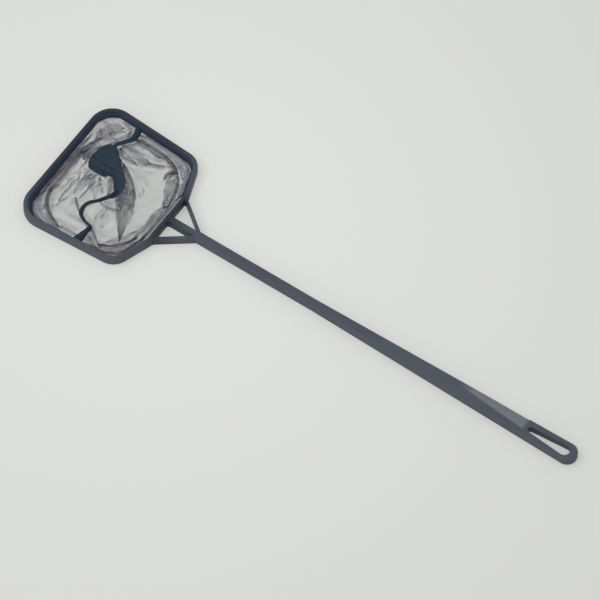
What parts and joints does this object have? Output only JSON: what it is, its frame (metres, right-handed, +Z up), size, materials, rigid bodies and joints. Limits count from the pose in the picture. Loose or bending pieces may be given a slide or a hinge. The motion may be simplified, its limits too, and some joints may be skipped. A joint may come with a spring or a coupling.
{
  "type": "aquarium fish net",
  "caption": "Hand net with a rounded-square moulded hoop, ribbed yoke, long widening handle with a hang slot, and a fine mesh bag lying collapsed in the hoop.",
  "frame": {"origin": "on the base, in the middle of the overall length, on the net's centre line", "axes": "+X along the handle towards the hang slot, +Z up, the hoop at -X"},
  "size_m": [0.3138, 0.0806, 0.0055],
  "materials": {
    "frame_plastic": "satin moulded plastic, dark blue grey",
    "bag_gauze": "fine sheer netting, dark grey yarn",
    "binding_tape": "woven binding tape, dark navy"
  },
  "bodies": {
    "root": {"hoop": "frame_plastic", "stem_rib": "frame_plastic", "left_brace": "frame_plastic", "right_brace": "frame_plastic", "handle": "frame_plastic", "bag_hem": "binding_tape", "front_panel": "bag_gauze", "back_panel": "bag_gauze", "seam_tape": "binding_tape", "tape_gather": "binding_tape"}
  },
  "joints": []
}
